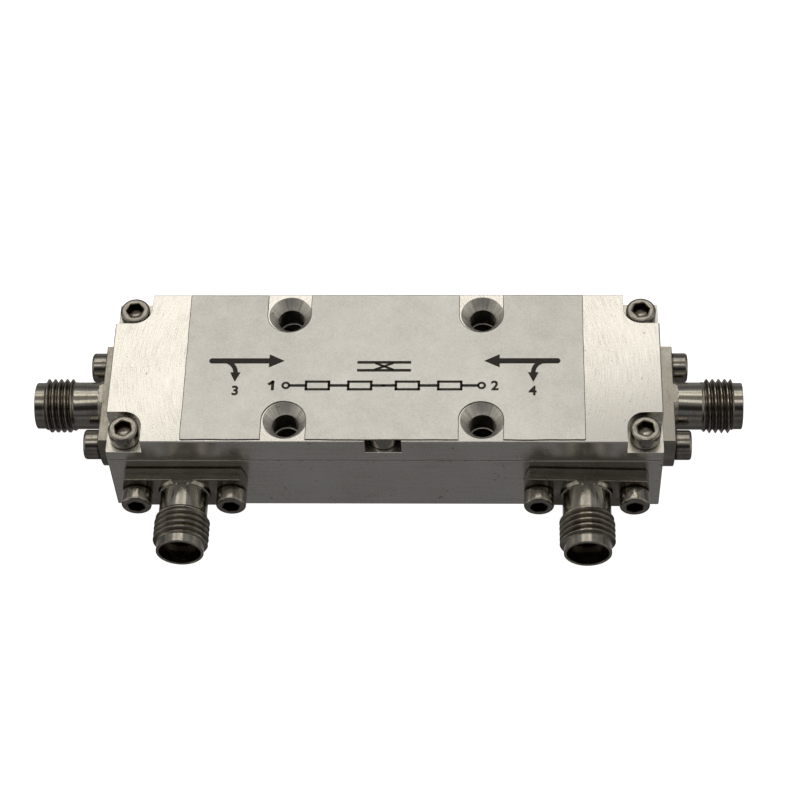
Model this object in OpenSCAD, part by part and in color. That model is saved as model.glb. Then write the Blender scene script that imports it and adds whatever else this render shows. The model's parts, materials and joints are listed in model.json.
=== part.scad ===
// Dual directional bridge coupler: a milled aluminium housing with a screwed lid, two flanged coaxial
// connectors on its ends for the through line and two on its front for the coupled ports.
// The origin is the centre of the housing's bottom face, +X runs along the through line, +Z is up
// and the coupled ports point towards -Y.

/* [Housing] */
// Length of the housing and the lid along the through line
body_l = 62.8; // [58:0.1:80]
// Width of the housing and the lid
body_w = 20.5; // [19.8:0.1:26]
// Height of the housing below the lid
housing_h = 9.4; // [9:0.1:13]
// Wall between the cavity and each end connector
end_wall_t = 3.5; // [3.3:0.1:5]
// Wall between the cavity and the front and rear faces
side_wall_t = 5.6; // [5.4:0.1:6]
// Corner radius that the milling cutter leaves in the cavity
cavity_corner_r = 1.5; // [0.5:0.1:2]
// Size of the broken edges on the housing and the lid
edge_break = 0.12; // [0.05:0.01:0.3]

/* [Lid] */
// Thickness of the lid
lid_t = 3.8; // [3.4:0.1:6]
// Side of the square notches that the lid screws sit in
notch_side = 4.1; // [3.8:0.1:4.6]
// Depth of those notches below the lid's top
notch_depth = 2.1; // [2.1:0.1:2.6]

/* [Mounting holes] */
// Distance between the mounting holes along the body
mount_pitch = 22.2; // [18:0.1:24]
// Distance of the mounting holes from the front and rear edges
mount_inset = 2.95; // [2.7:0.05:3.2]
// Diameter of the mounting holes through the housing
mount_d = 2.85; // [2.2:0.05:2.9]
// Diameter of the mounting holes through the lid
mount_lid_d = 3; // [2.9:0.1:3.4]
// Diameter of their countersinks at the lid's top
countersink_d = 4.94; // [4:0.01:5.2]
// Depth of the countersinks
countersink_depth = 1.15; // [0.8:0.05:1.6]

/* [Label] */
// Length of the label along the body
label_l = 45.7; // [44:0.1:50]
// Thickness of the label film
label_t = 0.1; // [0.05:0.01:0.2]
// How far the label sits off the middle, towards -X
label_shift = 0.1; // [0:0.05:0.4]
// Bare strip between the label and the lid's front edge
label_front_gap = 0.3; // [0.1:0.01:0.6]
// Bare strip between the label and the lid's rear edge
label_rear_gap = 0.05; // [0:0.01:0.6]
// Corner radius of the label
label_corner_r = 0.35; // [0.1:0.05:1]
// Width of the label's cut-outs around the mounting holes
label_cutout_d = 5; // [5:0.05:5.6]
// Thickness of the printed ink
print_t = 0.03; // [0.02:0.01:0.05]

/* [Printed arrows] */
// Distance of an arrow's round tail from the label's middle
arrow_tail_x = 20.05; // [19:0.05:21]
// Distance of an arrow's tip from the label's middle
arrow_tip_x = 11.4; // [9:0.05:13]
// How far the arrows lie behind the lid's middle line
arrow_y = 0.76; // [0.2:0.02:1.5]
// Width of an arrow's shaft
arrow_w = 0.7; // [0.5:0.05:1]
// Length of an arrow's head
arrow_head_l = 1.75; // [1.4:0.05:2.2]
// Width of an arrow's head
arrow_head_w = 1.8; // [1.5:0.05:2.4]
// Distance of the branch that points to the coupled port from the label's middle
branch_x = 16.95; // [16:0.05:18]
// Radius of the bend that the branch leaves the shaft with
branch_r = 1.6; // [1.2:0.05:2]
// Width of the branch
branch_w = 0.52; // [0.4:0.02:0.7]
// Length of the branch's head
branch_head_l = 1.3; // [1:0.05:1.6]
// Width of the branch's head
branch_head_w = 1.2; // [1:0.05:1.6]

/* [Connectors] */
// Height of the connector axes above the bottom face
port_z = 5.2; // [5:0.05:5.4]
// Distance of the front connectors from the nearer end face
side_port_inset = 8.5; // [8.2:0.1:10]
// Diameter of the disc that the flanges are cut from
flange_d = 14.2; // [13.9:0.1:14.6]
// Distance between the two flats of a flange
flange_flat = 5.4; // [4.6:0.1:5.6]
// How far the flats run on into the barrel
flat_run = 0.35; // [0.1:0.05:0.8]
// Thickness of the flanges
flange_t = 1.7; // [1.5:0.05:2.1]
// Turn of the right front flange in its clearance holes, measured at its screws
right_flange_turn = 0.18; // [0:0.01:0.18]
// Length of a barrel in front of its flange
barrel_l = 7.95; // [7.6:0.05:9.5]
// Diameter of the plain barrel behind the thread
barrel_d = 5.5; // [5.3:0.05:5.6]
// Outside diameter of the thread
thread_d = 6.3; // [6.1:0.05:6.4]
// Length of the threaded stretch
thread_l = 3.7; // [3:0.05:4.5]
// Chamfer at both ends of the thread
thread_chamfer = 0.2; // [0.1:0.05:0.3]
// Diameter of the plain pilot in front of the thread
pilot_d = 5.4; // [5.2:0.05:5.5]
// Length of the pilot
pilot_l = 1.05; // [0.6:0.05:1.4]
// Chamfer on the pilot's rim
rim_chamfer = 0.12; // [0.05:0.01:0.15]
// Diameter of the mouth
mouth_d = 4.7; // [4.6:0.05:4.8]
// Depth of the mouth in front of the contact
mouth_depth = 1.9; // [1.6:0.05:2.2]
// Diameter of the air space around the contact, behind the mouth
air_bore_d = 3.5; // [3.2:0.05:3.7]
// Length of that air space in front of the insulator
air_l = 3; // [2.5:0.1:4]
// Diameter of the insulator
insulator_d = 4.1; // [3.8:0.05:4.2]
// Diameter of the centre contact
contact_d = 1.27; // [1.1:0.01:1.4]
// Diameter of the socket in the contact's end
socket_d = 0.94; // [0.8:0.01:0.98]
// Depth of that socket
socket_depth = 2.6; // [2:0.1:3.5]
// Width of the slots that make the socket springy
slot_w = 0.2; // [0.1:0.02:0.3]
// Length of those slots
slot_l = 2; // [1.5:0.1:2.4]
// Length of the contact's tail inside the cavity
tail_l = 1.5; // [1:0.1:1.8]
// Clearance around the insulators and contacts
fit_gap = 0.02; // [0.01:0.01:0.05]

/* [Cap screws] */
// Shank diameter of the cap screws
screw_d = 2; // [1.8:0.1:2.1]
// Head diameter of the cap screws
screw_head_d = 3.45; // [3:0.05:3.6]
// Head height of the cap screws
screw_head_h = 1.9; // [1.6:0.05:2]
// Hexagon socket of the cap screws, across its flats
screw_hex = 1.9; // [1.5:0.1:2.1]
// Depth of the hexagon socket
screw_hex_depth = 1; // [0.7:0.1:1.1]
// Chamfer around the top of the heads
screw_chamfer = 0.18; // [0.1:0.02:0.25]
// Length of the lid screws under the head
lid_screw_l = 4; // [3.4:0.1:4]
// Length of the flange screws under the head
flange_screw_l = 4.5; // [4:0.1:4.6]
// Metal left between a flange's screw holes and its rim
flange_edge = 0.5; // [0.4:0.05:0.7]
// Clearance around the screws in the lid
lid_hole_gap = 0.1; // [0.05:0.05:0.2]
// Clearance around the screws in the flanges
flange_hole_gap = 0.2; // [0.19:0.01:0.25]
// Clearance around the screws in their tapped holes
thread_gap = 0.03; // [0.02:0.01:0.05]
// Room left under the end of a screw in a tapped hole
tap_room = 0.3; // [0.2:0.1:0.4]

/* [Circuit board] */
// Thickness of the board
board_t = 0.8; // [0.5:0.1:1]
// Gap between the board and the cavity walls
board_gap = 0.2; // [0.1:0.05:0.3]
// Thickness of the copper tracks
track_t = 0.05; // [0.03:0.01:0.1]
// Width of the through line and the port pads
line_w = 1.4; // [1.2:0.1:1.6]
// Gap that each bridge resistor spans
resistor_span = 1; // [0.8:0.05:1.1]
// Length of a bridge resistor
resistor_l = 1.6; // [1.5:0.1:1.8]
// Width of a bridge resistor
resistor_w = 0.8; // [0.6:0.1:1]
// Height of a bridge resistor
resistor_h = 0.5; // [0.4:0.05:0.7]
// Gap between a resistor and the end of the balun's cable beside it
resistor_gap = 0.15; // [0.1:0.05:0.2]
// Shank diameter of the board screws
board_screw_d = 1.2; // [1:0.1:1.4]
// Head diameter of the board screws
board_screw_head_d = 2.2; // [1.8:0.1:2.3]
// Head height of the board screws
board_screw_head_h = 0.8; // [0.6:0.1:1]
// Length of the board screws under the head
board_screw_l = 2.6; // [2:0.1:2.8]
// Distance of the board screws from the board's edges
board_screw_inset = 1.3; // [1.2:0.1:1.5]
// Width of the slot in a board screw's head
board_screw_slot_w = 0.3; // [0.2:0.05:0.4]
// Depth of that slot
board_screw_slot_depth = 0.4; // [0.2:0.1:0.5]

/* [Baluns] */
// Outside diameter of the balun cores
core_d = 3.6; // [3.2:0.1:3.8]
// Number of cores on each balun
core_count = 4; // [2:1:5]
// Gap between the cores
core_gap = 0.15; // [0.05:0.05:0.3]
// Gap between the cores and the cavity's rear wall
core_wall_gap = 0.3; // [0.2:0.05:0.5]
// Diameter of the balun's coaxial cable
coax_d = 1.2; // [1:0.1:1.3]
// Clearance of the cable in the cores
coax_gap = 0.08; // [0.05:0.01:0.15]
// Bend radius of the cable's ends, at its middle line
coax_bend_r = 1.4; // [1.3:0.1:1.5]
// Distance of a balun's inner end from the middle of the board
balun_inner_x = 3; // [2.5:0.1:4]
// Distance of a balun's outer end from the front connector's axis
balun_outer_gap = 3; // [2.6:0.1:4]

/* [Hidden] */
$fn = 64;
overcut = 1;
LEFT_END = 0;
RIGHT_END = 1;
LEFT_SIDE = 2;
RIGHT_SIDE = 3;
PORTS = [LEFT_END, RIGHT_END, LEFT_SIDE, RIGHT_SIDE];
SIDES = [-1, 1];
SLOT_TURNS = [45, 135];

METAL = "#c9c7c2";
LABEL_SILVER = "#c8c3b7";
INK = "#1b1a1a";
STEEL = "#8b8984";
PTFE = "#f1efe8";
GOLD = "#d8b25a";
BOARD_GREEN = "#2f6b45";
COPPER = "#c98b5a";
FERRITE = "#3a3a3d";
CERAMIC = "#26262a";

lid_top = housing_h + lid_t;
notch_floor = lid_top - notch_depth;
cavity_l = body_l - 2 * end_wall_t;
cavity_w = body_w - 2 * side_wall_t;
contact_r = contact_d / 2;
board_top = port_z - contact_r - track_t;
track_top = board_top + track_t;
cavity_floor = board_top - board_t;
board_l = cavity_l - 2 * board_gap;
board_w = cavity_w - 2 * board_gap;
side_port_x = body_l / 2 - side_port_inset;
mount_y = body_w / 2 - mount_inset;
lid_screw_x = body_l / 2 - notch_side / 2;
lid_screw_y = body_w / 2 - notch_side / 2;
LID_SCREWS = [for (x = [-lid_screw_x, 0, lid_screw_x], y = [-lid_screw_y, lid_screw_y]) [x, y]];
board_screw_x = board_l / 2 - board_screw_inset;
board_screw_y = board_w / 2 - board_screw_inset;
BOARD_SCREWS = [for (sx = SIDES, sy = SIDES) [sx * board_screw_x, sy * board_screw_y]];
flange_hole_d = screw_d + 2 * flange_hole_gap;
flange_pitch = flange_d - 2 * flange_edge - flange_hole_d;
flange_tap_depth = flange_screw_l - flange_t + tap_room;
thread_z = flange_t + barrel_l - thread_l - pilot_l;
pilot_z = thread_z + thread_l;
tip_z = pilot_z + pilot_l;
mouth_z = tip_z - mouth_depth;
air_z = mouth_z - air_l;
bore_r = insulator_d / 2 + fit_gap;
balun_y = cavity_w / 2 - core_wall_gap - core_d / 2;
balun_z = board_top + core_d / 2;
balun_outer_x = side_port_x - balun_outer_gap;
core_run = balun_outer_x - balun_inner_x - 2 * coax_bend_r;
core_l = (core_run - (core_count + 1) * core_gap) / core_count;
line_edge = line_w / 2;
resistor_offset = (coax_d + resistor_w) / 2 + resistor_gap;
// The two ends of a balun, each with the way that its resistor lies from it
BALUN_ENDS = [[balun_inner_x, -1], [balun_outer_x, 1]];
label_front = -body_w / 2 + label_front_gap;
label_rear = body_w / 2 - label_rear_gap;

// Each connector's place: its axis on the outer face, its turn about Z and the wall that it passes
function port_spot(port) =
    port == LEFT_END ? [-body_l / 2, 0, port_z] :
    port == RIGHT_END ? [body_l / 2, 0, port_z] :
    port == LEFT_SIDE ? [-side_port_x, -body_w / 2, port_z] : [side_port_x, -body_w / 2, port_z];
function port_turn(port) = port == LEFT_END ? -90 : port == RIGHT_END ? 90 : 0;
function on_end(port) = port == LEFT_END || port == RIGHT_END;
function port_wall_t(port) = on_end(port) ? end_wall_t : side_wall_t;
function port_skew(port) = port == RIGHT_SIDE ? asin(2 * right_flange_turn / flange_pitch) : 0;

// Puts its children on a connector's axis: local Z points out of the housing and local Y points up
module at_port(port) {
    translate(port_spot(port)) rotate([90, 0, port_turn(port)]) children();
}

// A rectangle about the origin with cut corners
function cut_rectangle(l, w, c) = [
    [-l / 2 + c, -w / 2], [l / 2 - c, -w / 2], [l / 2, -w / 2 + c], [l / 2, w / 2 - c],
    [l / 2 - c, w / 2], [-l / 2 + c, w / 2], [-l / 2, w / 2 - c], [-l / 2, -w / 2 + c]
];

// A block standing on Z = 0 with all its edges broken
module broken_block(l, w, h) {
    translate([0, 0, h / 2]) intersection() {
        linear_extrude(h, center = true) polygon(cut_rectangle(l, w, edge_break));
        rotate([90, 0, 0]) linear_extrude(w, center = true) polygon(cut_rectangle(l, h, edge_break));
        rotate([90, 0, 90]) linear_extrude(l, center = true) polygon(cut_rectangle(w, h, edge_break));
    }
}

// A flat rectangle about the origin with round corners
module round_rectangle(l, w, r) {
    square([l - 2 * r, w], center = true);
    square([l, w - 2 * r], center = true);
    for (sx = SIDES, sy = SIDES) translate([sx * (l / 2 - r), sy * (w / 2 - r)]) circle(r);
}

// A vertical hole from z upwards
module drill(spot, d, z, depth) {
    translate([spot[0], spot[1], z]) cylinder(d = d, h = depth);
}

// The four mounting holes' centres
module at_mount_holes() {
    for (sx = SIDES, sy = SIDES) translate([sx * mount_pitch / 2, sy * mount_y, 0]) children();
}

module housing() {
    color(METAL) difference() {
        broken_block(body_l, body_w, housing_h);
        translate([0, 0, cavity_floor]) linear_extrude(housing_h)
            round_rectangle(cavity_l, cavity_w, cavity_corner_r);
        at_mount_holes() translate([0, 0, -overcut]) cylinder(d = mount_d, h = housing_h + 2 * overcut);
        for (spot = LID_SCREWS) {
            depth = lid_screw_l - (notch_floor - housing_h) + tap_room;
            drill(spot, screw_d + 2 * thread_gap, housing_h - depth, depth + overcut);
        }
        for (spot = BOARD_SCREWS) {
            depth = board_screw_l - board_t + tap_room;
            drill(spot, board_screw_d + 2 * thread_gap, cavity_floor - depth, depth + overcut);
        }
        for (port = PORTS) at_port(port) {
            translate([0, 0, -port_wall_t(port) - overcut])
                cylinder(r = bore_r, h = port_wall_t(port) + 2 * overcut);
            for (s = SIDES) translate([s * flange_pitch / 2, 0, -flange_tap_depth])
                cylinder(d = screw_d + 2 * thread_gap, h = flange_tap_depth + overcut);
        }
    }
}

// The pocket for one lid screw, open towards the edges on the given sides
module screw_notch(spot) {
    sx = sign(spot[0]);
    sy = sign(spot[1]);
    r = notch_side / 2;
    reach = r + overcut;
    h = notch_depth + overcut;
    low_x = sx > 0 ? 0 : -reach;
    low_y = sy > 0 ? 0 : -reach;
    translate([spot[0], spot[1], notch_floor]) {
        cylinder(r = r, h = h);
        translate([-r, low_y, 0]) cube([2 * r, reach, h]);
        if (sx != 0) {
            translate([low_x, -r, 0]) cube([reach, 2 * r, h]);
            translate([low_x, low_y, 0]) cube([reach, reach, h]);
        }
    }
}

module lid() {
    color(METAL) difference() {
        translate([0, 0, housing_h]) broken_block(body_l, body_w, lid_t);
        for (spot = LID_SCREWS) {
            screw_notch(spot);
            drill(spot, screw_d + 2 * lid_hole_gap, housing_h - overcut, lid_t + 2 * overcut);
        }
        at_mount_holes() {
            translate([0, 0, housing_h - overcut]) cylinder(d = mount_lid_d, h = lid_t + 2 * overcut);
            translate([0, 0, lid_top - countersink_depth]) {
                cylinder(d1 = mount_lid_d, d2 = countersink_d, h = countersink_depth);
                translate([0, 0, countersink_depth]) cylinder(d = countersink_d, h = overcut);
            }
        }
    }
}

module label() {
    label_w = label_rear - label_front;
    color(LABEL_SILVER) translate([0, 0, lid_top]) linear_extrude(label_t) difference() {
        translate([-label_shift, (label_front + label_rear) / 2])
            round_rectangle(label_l, label_w, label_corner_r);
        for (sx = SIDES, sy = SIDES) translate([sx * mount_pitch / 2, sy * mount_y]) {
            circle(d = label_cutout_d);
            translate([-label_cutout_d / 2, sy > 0 ? 0 : -mount_inset])
                square([label_cutout_d, mount_inset]);
        }
    }
}

// One arrow that points to -X along the through line, with a branch that bends to the coupled port
module flow_arrow() {
    shaft_x = arrow_tip_x + arrow_head_l - arrow_w / 2;
    translate([shaft_x, arrow_y - arrow_w / 2]) square([arrow_tail_x - arrow_w / 2 - shaft_x, arrow_w]);
    translate([arrow_tail_x - arrow_w / 2, arrow_y]) circle(d = arrow_w);
    translate([arrow_tip_x, arrow_y])
        polygon([[0, 0], [arrow_head_l, -arrow_head_w / 2], [arrow_head_l, arrow_head_w / 2]]);
    translate([branch_x + branch_r, arrow_y - branch_r]) intersection() {
        difference() {
            circle(branch_r + branch_w / 2);
            circle(branch_r - branch_w / 2);
        }
        translate([-2 * branch_r, 0]) square(2 * branch_r);
    }
    translate([branch_x, arrow_y - branch_r]) {
        square([branch_w, branch_w], center = true);
        polygon([[0, -branch_head_l], [branch_head_w / 2, 0], [-branch_head_w / 2, 0]]);
    }
}

module flow_arrows() {
    color(INK) translate([-label_shift, 0, lid_top + label_t]) linear_extrude(print_t) {
        flow_arrow();
        mirror([1, 0]) flow_arrow();
    }
}

// A socket cap screw whose head stands on Z = 0, with its shank below
module cap_screw(shank_l) {
    head_r = screw_head_d / 2;
    difference() {
        rotate_extrude() polygon([
            [0, -shank_l], [screw_d / 2, -shank_l], [screw_d / 2, 0],
            [head_r, 0], [head_r, screw_head_h - screw_chamfer],
            [head_r - screw_chamfer, screw_head_h], [0, screw_head_h]
        ]);
        translate([0, 0, screw_head_h - screw_hex_depth])
            cylinder(d = screw_hex / cos(30), h = screw_hex_depth + overcut, $fn = 6);
    }
}

module lid_screws() {
    color(STEEL) for (spot = LID_SCREWS) translate([spot[0], spot[1], notch_floor]) cap_screw(lid_screw_l);
}

module flange_screws() {
    color(STEEL) for (port = PORTS) at_port(port) for (s = SIDES)
        translate([s * flange_pitch / 2, 0, flange_t]) cap_screw(flange_screw_l);
}

// The steel shell of a connector: flange, plain barrel, threaded stretch and pilot around one bore
module connector_shell(port) {
    thread_r = thread_d / 2;
    mouth_r = mouth_d / 2;
    air_r = air_bore_d / 2;
    pilot_r = pilot_d / 2;
    color(STEEL) at_port(port) rotate([0, 0, -port_skew(port)]) difference() {
        rotate_extrude() polygon([
            [bore_r, 0], [flange_d / 2, 0], [flange_d / 2, flange_t], [barrel_d / 2, flange_t],
            [barrel_d / 2, thread_z], [thread_r - thread_chamfer, thread_z],
            [thread_r, thread_z + thread_chamfer], [thread_r, pilot_z - thread_chamfer],
            [thread_r - thread_chamfer, pilot_z], [pilot_r, pilot_z], [pilot_r, tip_z - rim_chamfer],
            [pilot_r - rim_chamfer, tip_z], [mouth_r + rim_chamfer, tip_z], [mouth_r, tip_z - rim_chamfer],
            [mouth_r, mouth_z], [air_r, mouth_z], [air_r, air_z], [bore_r, air_z]
        ]);
        for (s = SIDES) {
            translate([-flange_d, s > 0 ? flange_flat / 2 : -flange_flat / 2 - flange_d, -overcut])
                cube([2 * flange_d, flange_d, flange_t + flat_run + overcut]);
            translate([s * flange_pitch / 2, 0, -overcut])
                cylinder(d = flange_hole_d, h = flange_t + 2 * overcut);
        }
    }
}

// The insulator: a tube around the contact that seats against the step behind the air space
module connector_insulator(port) {
    wall_t = port_wall_t(port);
    length = wall_t + air_z;
    color(PTFE) at_port(port) translate([0, 0, -wall_t]) difference() {
        cylinder(d = insulator_d, h = length);
        translate([0, 0, -overcut]) cylinder(r = contact_r + fit_gap, h = length + 2 * overcut);
    }
}

// The centre contact: a slotted socket at the mating end and a plain tail that lies on the board
module connector_contact(port) {
    tail_z = -port_wall_t(port) - tail_l;
    color(GOLD) at_port(port) difference() {
        translate([0, 0, tail_z]) cylinder(r = contact_r, h = mouth_z - tail_z);
        translate([0, 0, mouth_z - socket_depth]) cylinder(d = socket_d, h = socket_depth + overcut);
        for (turn = SLOT_TURNS) rotate([0, 0, turn]) translate([-contact_d, -slot_w / 2, mouth_z - slot_l])
            cube([2 * contact_d, slot_w, slot_l + overcut]);
    }
}

module left_end_shell() { connector_shell(LEFT_END); }
module right_end_shell() { connector_shell(RIGHT_END); }
module left_side_shell() { connector_shell(LEFT_SIDE); }
module right_side_shell() { connector_shell(RIGHT_SIDE); }
module left_end_insulator() { connector_insulator(LEFT_END); }
module right_end_insulator() { connector_insulator(RIGHT_END); }
module left_side_insulator() { connector_insulator(LEFT_SIDE); }
module right_side_insulator() { connector_insulator(RIGHT_SIDE); }
module left_end_contact() { connector_contact(LEFT_END); }
module right_end_contact() { connector_contact(RIGHT_END); }
module left_side_contact() { connector_contact(LEFT_SIDE); }
module right_side_contact() { connector_contact(RIGHT_SIDE); }

module circuit_board() {
    corner_r = cavity_corner_r - board_gap;
    color(BOARD_GREEN) difference() {
        translate([0, 0, cavity_floor]) linear_extrude(board_t) round_rectangle(board_l, board_w, corner_r);
        for (spot = BOARD_SCREWS) {
            drill(spot, board_screw_d + 2 * thread_gap, cavity_floor - overcut, board_t + 2 * overcut);
        }
    }
}

// A track on the board from one corner to the other
module track(low, high) {
    translate([low[0], low[1], board_top]) cube([high[0] - low[0], high[1] - low[1], track_t]);
}

module board_tracks() {
    balun_pad_low = line_edge + resistor_span;
    balun_pad_high = balun_y + coax_d / 2;
    port_pad_low = -board_w / 2 + board_gap;
    port_pad_high = -line_edge - resistor_span;
    color(COPPER) {
        track([-board_l / 2 + board_gap, -line_edge], [board_l / 2 - board_gap, line_edge]);
        for (s = [0, 1]) mirror([s, 0, 0]) {
            track([side_port_x - line_edge, port_pad_low], [side_port_x + line_edge, port_pad_high]);
            for (end = BALUN_ENDS) {
                ends = [end[0] - end[1] * line_edge, end[0] + end[1] * (resistor_offset + resistor_w / 2)];
                track([min(ends), balun_pad_low], [max(ends), balun_pad_high]);
            }
        }
    }
}

module bridge_resistors() {
    reach = line_edge + resistor_span / 2;
    port_spot = [[side_port_x, -reach]];
    balun_spots = [for (end = BALUN_ENDS) [end[0] + end[1] * resistor_offset, reach]];
    color(CERAMIC) for (s = SIDES, spot = concat(port_spot, balun_spots))
        translate([s * spot[0] - resistor_w / 2, spot[1] - resistor_l / 2, track_top])
            cube([resistor_w, resistor_l, resistor_h]);
}

module board_screws() {
    slot_z = board_screw_head_h - board_screw_slot_depth;
    color(STEEL) for (spot = BOARD_SCREWS) translate([spot[0], spot[1], board_top]) difference() {
        union() {
            cylinder(d = board_screw_head_d, h = board_screw_head_h);
            translate([0, 0, -board_screw_l]) cylinder(d = board_screw_d, h = board_screw_l);
        }
        translate([-board_screw_head_d, -board_screw_slot_w / 2, slot_z])
            cube([2 * board_screw_head_d, board_screw_slot_w, board_screw_slot_depth + overcut]);
    }
}

// A row of ferrite tubes that the balun's cable is threaded through
module balun_cores(side) {
    first_x = balun_inner_x + coax_bend_r + core_gap + core_l / 2;
    color(FERRITE) for (i = [0 : core_count - 1])
        translate([side * (first_x + i * (core_l + core_gap)), balun_y, balun_z]) rotate([0, 90, 0])
            difference() {
                cylinder(d = core_d, h = core_l, center = true);
                cylinder(d = coax_d + 2 * coax_gap, h = core_l + overcut, center = true);
            }
}

// A stiff cable that runs along X and bends down to a pad on the board at both ends
module balun_coax(side) {
    leg_l = balun_z - coax_bend_r - track_top;
    run_l = balun_outer_x - balun_inner_x - 2 * coax_bend_r;
    middle_x = side * (balun_inner_x + balun_outer_x) / 2;
    color(COPPER) translate([middle_x, balun_y, 0]) {
        translate([-run_l / 2, 0, balun_z]) rotate([0, 90, 0]) cylinder(d = coax_d, h = run_l);
        for (end = SIDES) {
            translate([end * (run_l / 2 + coax_bend_r), 0, track_top]) cylinder(d = coax_d, h = leg_l);
            translate([end * run_l / 2, 0, balun_z - coax_bend_r]) rotate([90, 0, end > 0 ? 0 : 180])
                rotate_extrude(angle = 90) translate([coax_bend_r, 0]) circle(d = coax_d);
        }
    }
}

module left_balun_cores() { balun_cores(-1); }
module right_balun_cores() { balun_cores(1); }
module left_balun_coax() { balun_coax(-1); }
module right_balun_coax() { balun_coax(1); }

housing();
lid();
label();
flow_arrows();
lid_screws();
flange_screws();
left_end_shell();
right_end_shell();
left_side_shell();
right_side_shell();
left_end_insulator();
right_end_insulator();
left_side_insulator();
right_side_insulator();
left_end_contact();
right_end_contact();
left_side_contact();
right_side_contact();
circuit_board();
board_tracks();
board_screws();
bridge_resistors();
left_balun_cores();
right_balun_cores();
left_balun_coax();
right_balun_coax();
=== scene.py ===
# %% [markdown]
# # Dressing a directional coupler
# A directional coupler taps a little of the power that runs along a coaxial line. This one is a milled
# aluminium box with a screwed lid, a silver label and four threaded steel connectors. The solids of the
# box, the screws and the circuit inside are exact already, so this lesson only gives them their looks.
# Everything is in metres in the frame of those solids, and nothing here moves or resizes them.

# %% Load the frame
import json
import math

import bmesh
import bpy
from mathutils import Matrix, Vector, noise


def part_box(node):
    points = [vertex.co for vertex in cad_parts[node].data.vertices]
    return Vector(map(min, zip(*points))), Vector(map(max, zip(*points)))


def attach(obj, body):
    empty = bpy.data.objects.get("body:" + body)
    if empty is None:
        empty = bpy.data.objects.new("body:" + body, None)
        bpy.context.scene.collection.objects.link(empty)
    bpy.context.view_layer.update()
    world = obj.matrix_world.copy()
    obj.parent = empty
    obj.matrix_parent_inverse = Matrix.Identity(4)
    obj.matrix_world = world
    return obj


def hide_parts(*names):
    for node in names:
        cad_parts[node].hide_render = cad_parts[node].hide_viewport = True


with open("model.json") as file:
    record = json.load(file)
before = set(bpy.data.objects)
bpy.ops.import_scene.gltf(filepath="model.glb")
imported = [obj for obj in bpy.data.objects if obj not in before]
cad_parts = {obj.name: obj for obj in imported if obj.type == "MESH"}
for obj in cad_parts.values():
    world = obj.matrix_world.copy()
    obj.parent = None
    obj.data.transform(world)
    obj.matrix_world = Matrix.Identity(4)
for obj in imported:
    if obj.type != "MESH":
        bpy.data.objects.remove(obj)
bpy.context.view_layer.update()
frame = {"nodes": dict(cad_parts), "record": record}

MM = 0.001
BODY = "root"
SIDES = (-1, 1)

# %% [markdown]
# ## The camera
# The photograph looks down on the part from the front, a little from the right, through a long lens. A
# camera could be framed by eye. Here its place comes from a fit to the lid's corners, so an azimuth, an
# elevation, a distance and a roll say it all, and the picture lines up with the photograph.

# %% Camera
CAMERA_TARGET = Vector((1.48, -0.04, 6.5)) * MM
CAMERA_AZIMUTH = 4.17
CAMERA_ELEVATION = 55.95
CAMERA_ROLL = -3.44
CAMERA_DISTANCE = 276.65 * MM
CAMERA_LENS = 107.15


def direction(azimuth, elevation):
    """The unit vector to a spot on the sky: azimuth 0 is the front, -Y, and 90 is the right, +X."""
    a, e = math.radians(azimuth), math.radians(elevation)
    return Vector((math.sin(a) * math.cos(e), -math.cos(a) * math.cos(e), math.sin(e)))


camera = bpy.data.objects.new("camera", bpy.data.cameras.new("camera"))
bpy.context.collection.objects.link(camera)
back = direction(CAMERA_AZIMUTH, CAMERA_ELEVATION)
level = (-back).to_track_quat("-Z", "Y").to_matrix().to_4x4()
roll = Matrix.Rotation(math.radians(CAMERA_ROLL), 4, "Z")
camera.matrix_world = Matrix.Translation(CAMERA_TARGET + back * CAMERA_DISTANCE) @ level @ roll
camera.data.lens = CAMERA_LENS
camera.data.clip_start = 10 * MM
bpy.context.scene.camera = camera
print("camera at", [round(v / MM, 1) for v in camera.location], "mm")

# %% [markdown]
# ## Tools for node trees
# A material is a small tree of nodes, and so is a Geometry Nodes modifier. Building them by hand takes
# many clicks. These helpers add a node and fill its inputs with numbers or with another node's output, so
# each finish below reads like a recipe. All patterns use Object coordinates, which are metres here.

# %% Node helpers
def plug(socket, value):
    """Fills an input with a constant, or links another node's output to it."""
    if isinstance(value, bpy.types.NodeSocket):
        socket.id_data.links.new(value, socket)
    else:
        socket.default_value = value


def add(tree, kind, values=None, **settings):
    """A new node with its settings and inputs filled in."""
    made = tree.nodes.new(kind)
    for name, value in settings.items():
        setattr(made, name, value)
    for name, value in (values or {}).items():
        plug(made.inputs[name], value)
    return made


def calc(operation, *values):
    """The output of one math node, in the tree of the outputs that it works with."""
    tree = next(v.id_data for v in values if isinstance(v, bpy.types.NodeSocket))
    made = tree.nodes.new("ShaderNodeMath")
    made.operation = operation
    for socket, value in zip(made.inputs, values):
        plug(socket, value)
    return made.outputs[0]


def remap(value, low, high, to_low=0.0, to_high=1.0):
    """A value's range from low to high, moved to another range and kept inside it."""
    made = add(value.id_data, "ShaderNodeMapRange",
               {"Value": value, "From Min": low, "From Max": high, "To Min": to_low, "To Max": to_high})
    return made.outputs[0]


def split(vector):
    """The three numbers of a vector."""
    return add(vector.id_data, "ShaderNodeSeparateXYZ", {"Vector": vector}).outputs


def join(x, y, z):
    """A vector from three numbers, of which the first is an output."""
    return add(x.id_data, "ShaderNodeCombineXYZ", {"X": x, "Y": y, "Z": z}).outputs[0]


def mixed(weights):
    """The sum of several values, each times its weight."""
    total = 0.0
    for value, weight in weights:
        total = calc("MULTIPLY_ADD", value, weight, total)
    return total


def place(tree):
    """The point on the surface, in metres."""
    return add(tree, "ShaderNodeTexCoord").outputs["Object"]


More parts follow.
